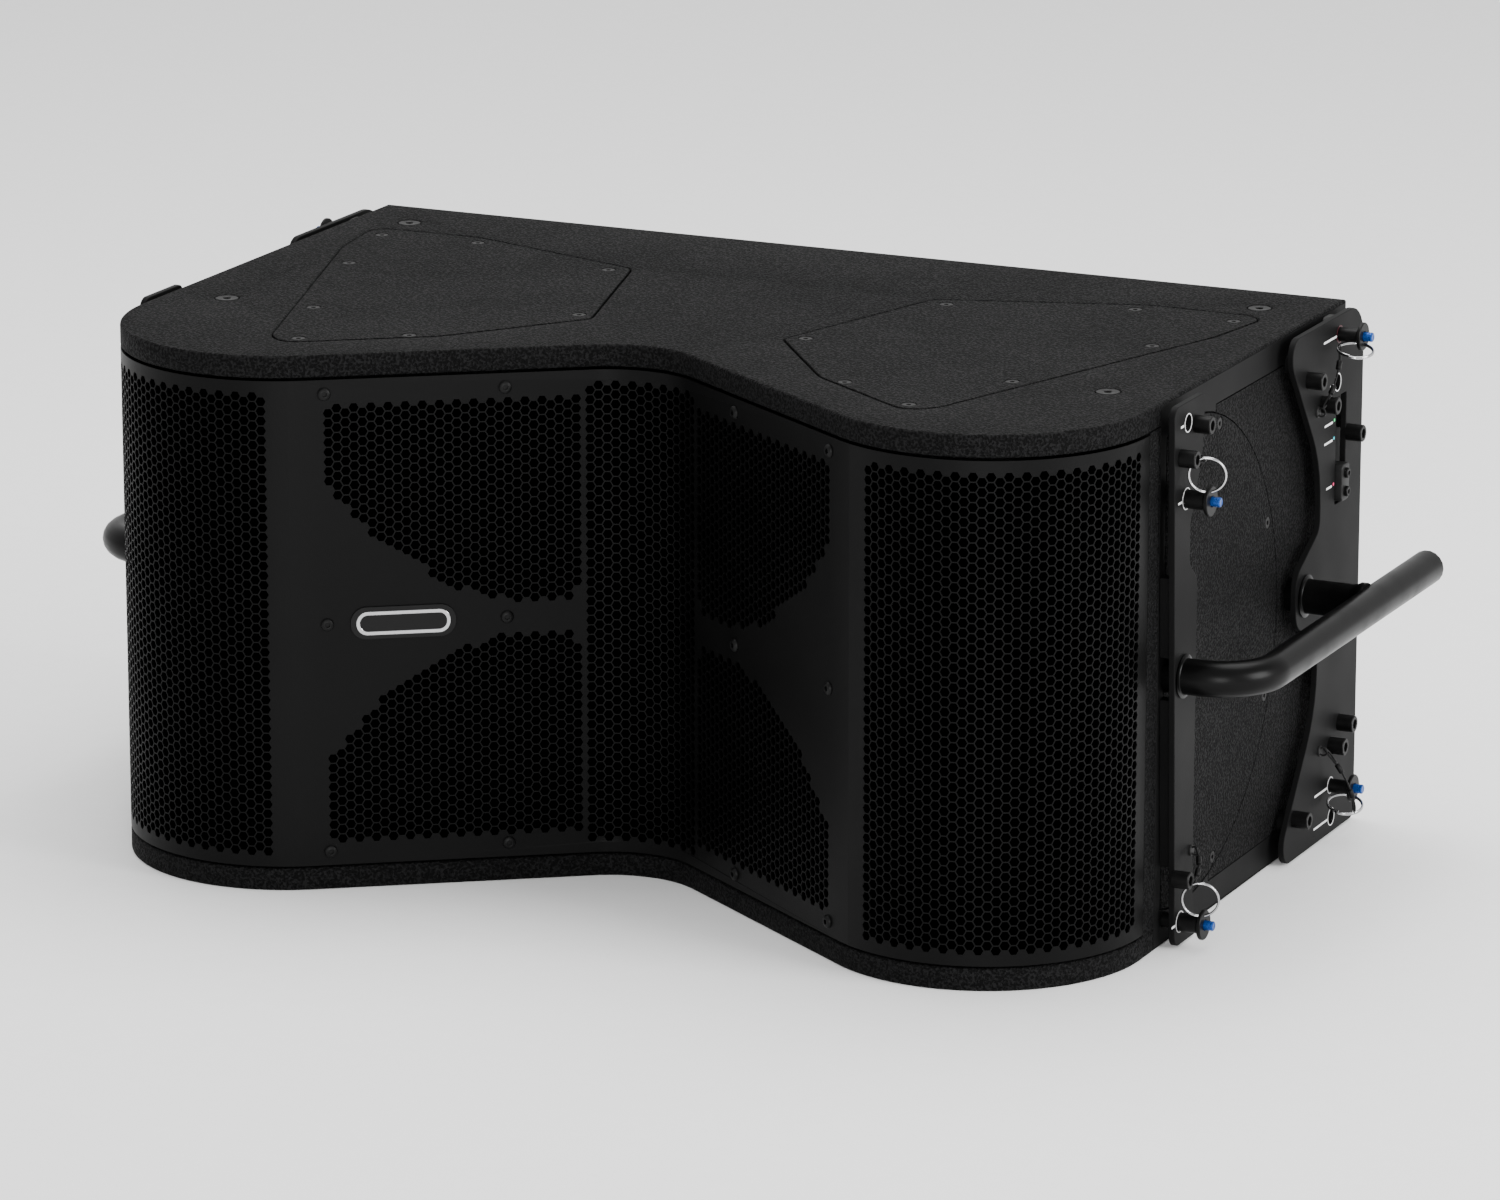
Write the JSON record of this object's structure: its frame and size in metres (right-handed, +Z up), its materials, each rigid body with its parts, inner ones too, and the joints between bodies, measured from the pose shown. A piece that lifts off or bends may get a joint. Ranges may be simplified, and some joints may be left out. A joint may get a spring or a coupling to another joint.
{
  "type": "line array speaker",
  "caption": "Line array loudspeaker with a W-shaped perforated front, side rigging plates with slotted links and quick-release pins, and tube handles.",
  "frame": {"origin": "centre of the outline on the plane the cabinet's floor stands on", "axes": "+X to the viewer's right across the cabinet, +Y from the front to the back, +Z up"},
  "size_m": [1.028, 0.5591, 0.43],
  "materials": {
    "textured_paint": "coarse speckled black structural paint on plywood",
    "grille_steel": "black powder-coated perforated steel",
    "dark_steel": "smooth satin dark grey coating",
    "handle_black": "satin black",
    "pin_black": "black oxide",
    "button_blue": "blue anodised",
    "link_steel": "dark coated steel",
    "bare_plywood": "bare birch plywood",
    "cast_metal": "cast basket and motor",
    "cone": "coated paper",
    "horn_plastic": "moulded plastic",
    "socket_plastic": "moulded plastic",
    "bright_wire": "bright nickel-plated spring steel",
    "black_fastener": "black zinc screws and welded bosses",
    "white_print": "white print and small coloured marks",
    "acoustic_cloth": "open black scrim cloth behind the grille"
  },
  "bodies": {
    "root": {"right_top_hatch": "textured_paint", "right_side_wall": "textured_paint", "right_side_frame": "dark_steel", "right_access_cover": "textured_paint", "right_front_plate": "dark_steel", "right_rear_plate": "dark_steel", "right_handle": "handle_black", "right_woofer_baffle": "bare_plywood", "right_woofer_frame": "cast_metal", "right_mid_baffle": "bare_plywood", "right_input_socket": "socket_plastic", "right_upper_mid_driver": "cast_metal", "right_lower_mid_driver": "cast_metal", "left_top_hatch": "textured_paint", "left_side_wall": "textured_paint", "left_side_frame": "dark_steel", "left_access_cover": "textured_paint", "left_front_plate": "dark_steel", "left_rear_plate": "dark_steel", "left_handle": "handle_black", "left_woofer_baffle": "bare_plywood", "left_woofer_frame": "cast_metal", "left_mid_baffle": "bare_plywood", "left_input_socket": "socket_plastic", "left_upper_mid_driver": "cast_metal", "left_lower_mid_driver": "cast_metal", "top_panel": "textured_paint", "bottom_panel": "textured_paint", "front_grille": "grille_steel", "hf_waveguide": "horn_plastic", "back_panel": "textured_paint", "connector_plate": "dark_steel", "upper_hf_driver": "cast_metal", "lower_hf_driver": "cast_metal"},
    "right_front_upper_pin": {"right_front_upper_pin": "pin_black"},
    "right_front_upper_button": {"right_front_upper_button": "button_blue"},
    "right_front_lower_pin": {"right_front_lower_pin": "pin_black"},
    "right_front_lower_button": {"right_front_lower_button": "button_blue"},
    "right_rear_upper_pin": {"right_rear_upper_pin": "pin_black"},
    "right_rear_upper_button": {"right_rear_upper_button": "button_blue"},
    "right_rear_lower_pin": {"right_rear_lower_pin": "pin_black"},
    "right_rear_lower_button": {"right_rear_lower_button": "button_blue"},
    "right_front_link": {"right_front_link": "link_steel"},
    "right_rear_link": {"right_rear_link": "link_steel"},
    "right_woofer_cone": {"right_woofer_cone": "cone"},
    "right_upper_mid_cone": {"right_upper_mid_cone": "cone"},
    "right_lower_mid_cone": {"right_lower_mid_cone": "cone"},
    "left_front_upper_pin": {"left_front_upper_pin": "pin_black"},
    "left_front_upper_button": {"left_front_upper_button": "button_blue"},
    "left_front_lower_pin": {"left_front_lower_pin": "pin_black"},
    "left_front_lower_button": {"left_front_lower_button": "button_blue"},
    "left_rear_upper_pin": {"left_rear_upper_pin": "pin_black"},
    "left_rear_upper_button": {"left_rear_upper_button": "button_blue"},
    "left_rear_lower_pin": {"left_rear_lower_pin": "pin_black"},
    "left_rear_lower_button": {"left_rear_lower_button": "button_blue"},
    "left_front_link": {"left_front_link": "link_steel"},
    "left_rear_link": {"left_rear_link": "link_steel"},
    "left_woofer_cone": {"left_woofer_cone": "cone"},
    "left_upper_mid_cone": {"left_upper_mid_cone": "cone"},
    "left_lower_mid_cone": {"left_lower_mid_cone": "cone"}
  },
  "joints": [
    {"name": "right_front_upper_pin_pull", "type": "slide", "parent": "root", "child": "right_front_upper_pin", "axis": [1, 0, 0], "range_m": [0, 0.025]},
    {"name": "right_front_upper_button_press", "type": "slide", "parent": "right_front_upper_pin", "child": "right_front_upper_button", "axis": [-1, 0, 0], "range_m": [0, 0.004], "stiffness_N_per_m": 2500},
    {"name": "right_front_lower_pin_pull", "type": "slide", "parent": "root", "child": "right_front_lower_pin", "axis": [1, 0, 0], "range_m": [0, 0.025]},
    {"name": "right_front_lower_button_press", "type": "slide", "parent": "right_front_lower_pin", "child": "right_front_lower_button", "axis": [-1, 0, 0], "range_m": [0, 0.004], "stiffness_N_per_m": 2500},
    {"name": "right_rear_upper_pin_pull", "type": "slide", "parent": "root", "child": "right_rear_upper_pin", "axis": [1, 0, 0], "range_m": [0, 0.025]},
    {"name": "right_rear_upper_button_press", "type": "slide", "parent": "right_rear_upper_pin", "child": "right_rear_upper_button", "axis": [-1, 0, 0], "range_m": [0, 0.004], "stiffness_N_per_m": 2500},
    {"name": "right_rear_lower_pin_pull", "type": "slide", "parent": "root", "child": "right_rear_lower_pin", "axis": [1, 0, 0], "range_m": [0, 0.025]},
    {"name": "right_rear_lower_button_press", "type": "slide", "parent": "right_rear_lower_pin", "child": "right_rear_lower_button", "axis": [-1, 0, 0], "range_m": [0, 0.004], "stiffness_N_per_m": 2500},
    {"name": "right_front_link_rise", "type": "slide", "parent": "root", "child": "right_front_link", "axis": [0, 0, 1], "range_m": [0, 0.0965]},
    {"name": "right_rear_link_rise", "type": "slide", "parent": "root", "child": "right_rear_link", "axis": [0, 0, 1], "range_m": [0, 0.055]},
    {"name": "right_woofer_cone_travel", "type": "slide", "parent": "root", "child": "right_woofer_cone", "axis": [0, -1, 0], "range_m": [-0.006, 0.006], "stiffness_N_per_m": 3000},
    {"name": "right_upper_mid_cone_travel", "type": "slide", "parent": "root", "child": "right_upper_mid_cone", "axis": [-0.5707, -0.8211, 0], "range_m": [-0.0015, 0.0015], "stiffness_N_per_m": 5000},
    {"name": "right_lower_mid_cone_travel", "type": "slide", "parent": "root", "child": "right_lower_mid_cone", "axis": [-0.5707, -0.8211, 0], "range_m": [-0.0015, 0.0015], "stiffness_N_per_m": 5000},
    {"name": "left_front_upper_pin_pull", "type": "slide", "parent": "root", "child": "left_front_upper_pin", "axis": [-1, 0, 0], "range_m": [0, 0.025]},
    {"name": "left_front_upper_button_press", "type": "slide", "parent": "left_front_upper_pin", "child": "left_front_upper_button", "axis": [1, 0, 0], "range_m": [0, 0.004], "stiffness_N_per_m": 2500},
    {"name": "left_front_lower_pin_pull", "type": "slide", "parent": "root", "child": "left_front_lower_pin", "axis": [-1, 0, 0], "range_m": [0, 0.025]},
    {"name": "left_front_lower_button_press", "type": "slide", "parent": "left_front_lower_pin", "child": "left_front_lower_button", "axis": [1, 0, 0], "range_m": [0, 0.004], "stiffness_N_per_m": 2500},
    {"name": "left_rear_upper_pin_pull", "type": "slide", "parent": "root", "child": "left_rear_upper_pin", "axis": [-1, 0, 0], "range_m": [0, 0.025]},
    {"name": "left_rear_upper_button_press", "type": "slide", "parent": "left_rear_upper_pin", "child": "left_rear_upper_button", "axis": [1, 0, 0], "range_m": [0, 0.004], "stiffness_N_per_m": 2500},
    {"name": "left_rear_lower_pin_pull", "type": "slide", "parent": "root", "child": "left_rear_lower_pin", "axis": [-1, 0, 0], "range_m": [0, 0.025]},
    {"name": "left_rear_lower_button_press", "type": "slide", "parent": "left_rear_lower_pin", "child": "left_rear_lower_button", "axis": [1, 0, 0], "range_m": [0, 0.004], "stiffness_N_per_m": 2500},
    {"name": "left_front_link_rise", "type": "slide", "parent": "root", "child": "left_front_link", "axis": [0, 0, 1], "range_m": [0, 0.0965]},
    {"name": "left_rear_link_rise", "type": "slide", "parent": "root", "child": "left_rear_link", "axis": [0, 0, 1], "range_m": [0, 0.055]},
    {"name": "left_woofer_cone_travel", "type": "slide", "parent": "root", "child": "left_woofer_cone", "axis": [0, -1, 0], "range_m": [-0.006, 0.006], "stiffness_N_per_m": 3000},
    {"name": "left_upper_mid_cone_travel", "type": "slide", "parent": "root", "child": "left_upper_mid_cone", "axis": [0.5707, -0.8211, 0], "range_m": [-0.0015, 0.0015], "stiffness_N_per_m": 5000},
    {"name": "left_lower_mid_cone_travel", "type": "slide", "parent": "root", "child": "left_lower_mid_cone", "axis": [0.5707, -0.8211, 0], "range_m": [-0.0015, 0.0015], "stiffness_N_per_m": 5000}
  ]
}
